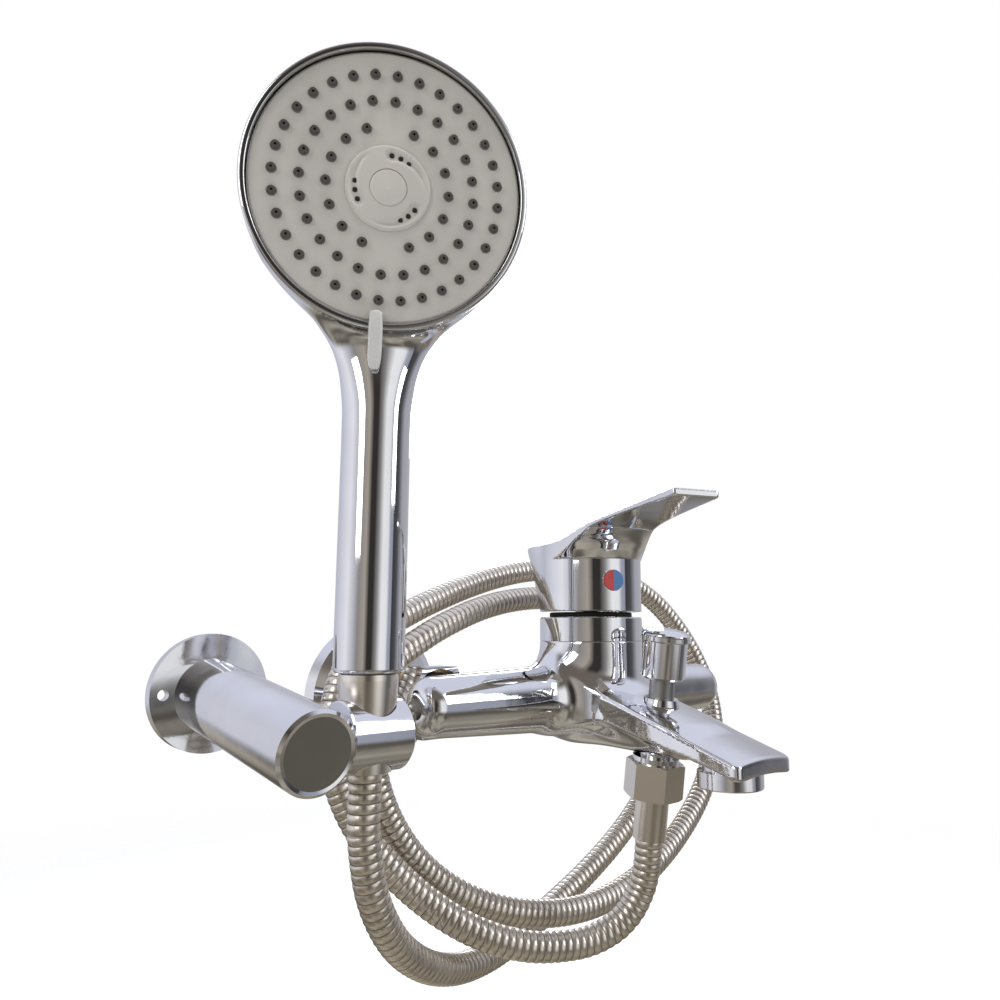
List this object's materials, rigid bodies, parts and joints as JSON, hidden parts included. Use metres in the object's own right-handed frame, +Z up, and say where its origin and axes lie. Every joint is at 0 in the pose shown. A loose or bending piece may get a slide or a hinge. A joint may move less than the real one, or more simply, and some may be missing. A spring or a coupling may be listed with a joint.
{
  "type": "bath shower mixer",
  "caption": "Wall-mounted single-lever bath mixer with flat spout, lift diverter, ribbed shower hose, round hand shower and swivelling wall bracket.",
  "frame": {"origin": "on the wall, midway between the two inlet threads, at their height", "axes": "+X along the wall to the right, +Y into the wall, +Z up; the room and the spout are on the -Y side"},
  "size_m": [0.3329, 0.183, 0.362],
  "materials": {
    "body_chrome": "polished",
    "lever_chrome": "polished",
    "trim_chrome": "polished",
    "bracket_chrome": "chrome plated, polished",
    "shower_chrome": "chrome plated, polished",
    "union_brass": "machined",
    "rubber": "matte",
    "cartridge_plastic": "moulded",
    "ceramic": "ground",
    "satin_nickel": "satin",
    "hose_steel": "satin, wound",
    "screw_steel": "turned",
    "indicator": "gloss, red and blue halves",
    "inner_plastic": "moulded",
    "face_grey": "satin",
    "nozzle_rubber": "matte",
    "insert_grey": "satin",
    "jet_black": "matte",
    "tab_white": "gloss"
  },
  "bodies": {
    "fixed": {"mixer_body": "body_chrome", "left_union": "union_brass", "right_union": "union_brass", "union_nuts": "trim_chrome", "escutcheons": "trim_chrome", "filter_washers": "rubber", "cartridge_housing": "cartridge_plastic", "cartridge_seal": "rubber", "fixed_disc": "ceramic", "retaining_nut": "union_brass", "tower_ring": "trim_chrome", "diverter_bush": "trim_chrome", "aerator_housing": "trim_chrome", "aerator_insert": "cartridge_plastic", "aerator_seal": "rubber", "outlet_nipple": "union_brass", "hose_nut": "satin_nickel", "hose_washer": "rubber", "hose_ferrule": "satin_nickel", "hose_loops": "hose_steel", "hose_riser": "hose_steel", "bracket_plate": "bracket_chrome", "bracket_arm": "bracket_chrome", "arm_cap": "bracket_chrome", "bracket_grub": "screw_steel"},
    "rotor": {"cartridge_rotor": "cartridge_plastic"},
    "lever": {"cartridge_stem": "screw_steel", "lever_handle": "lever_chrome", "lever_screw": "screw_steel", "indicator_cap": "indicator"},
    "disc": {"moving_disc": "ceramic"},
    "diverter": {"diverter_knob": "trim_chrome", "diverter_stem": "trim_chrome", "diverter_seals": "rubber"},
    "holder": {"swivel_barrel": "bracket_chrome", "pivot_screw": "screw_steel", "friction_washer": "rubber", "hose_top": "hose_steel"},
    "hose_end": {"cone_nut": "satin_nickel", "cone_washer": "rubber"},
    "handset": {"shower_shell": "shower_chrome", "shower_waterway": "inner_plastic", "distribution_plate": "inner_plastic", "plate_seal": "rubber", "face_screw": "screw_steel"},
    "face": {"face_plate": "face_grey", "nozzles": "nozzle_rubber", "spray_insert": "insert_grey", "insert_jets": "jet_black", "centre_button": "insert_grey", "selector_tab": "tab_white"}
  },
  "joints": [
    {"name": "lever_swivel", "type": "hinge", "parent": "fixed", "child": "rotor", "pos_m": [0, -0.075, 0.03], "axis": [0, 0, 1], "range_deg": [-24, 66]},
    {"name": "lever_lift", "type": "hinge", "parent": "rotor", "child": "lever", "pos_m": [0, -0.075, 0.03], "axis": [-0.9336, 0.3584, 0], "range_deg": [0, 15]},
    {"name": "disc_slide", "type": "slide", "parent": "rotor", "child": "disc", "axis": [-0.3584, -0.9336, 0], "range_m": [0, 0.0036]},
    {"name": "diverter_lift", "type": "slide", "parent": "fixed", "child": "diverter", "axis": [0, -0.1392, 0.9903], "range_m": [0, 0.005]},
    {"name": "holder_tilt", "type": "hinge", "parent": "fixed", "child": "holder", "pos_m": [-0.1545, -0.082, -0.0068], "axis": [1, 0, 0], "range_deg": [-10, 40], "deforming": ["hose_riser"]},
    {"name": "handset_lift", "type": "slide", "parent": "holder", "child": "hose_end", "axis": [0, 0, 1], "range_m": [0, 0.034], "deforming": ["hose_top"]},
    {"name": "handset_turn", "type": "hinge", "parent": "hose_end", "child": "handset", "pos_m": [-0.1275, -0.082, 0.0156], "axis": [0, 0, 1], "range_deg": [-60, 60]},
    {"name": "spray_turn", "type": "hinge", "parent": "handset", "child": "face", "pos_m": [-0.13924, -0.10407, 0.1941], "axis": [-0.4623, -0.8695, -0.1736], "range_deg": [-40, 40]}
  ],
  "couplings": [
    {"joint": "disc_slide", "follows": "lever_lift", "m_per_rad": 0.013}
  ]
}
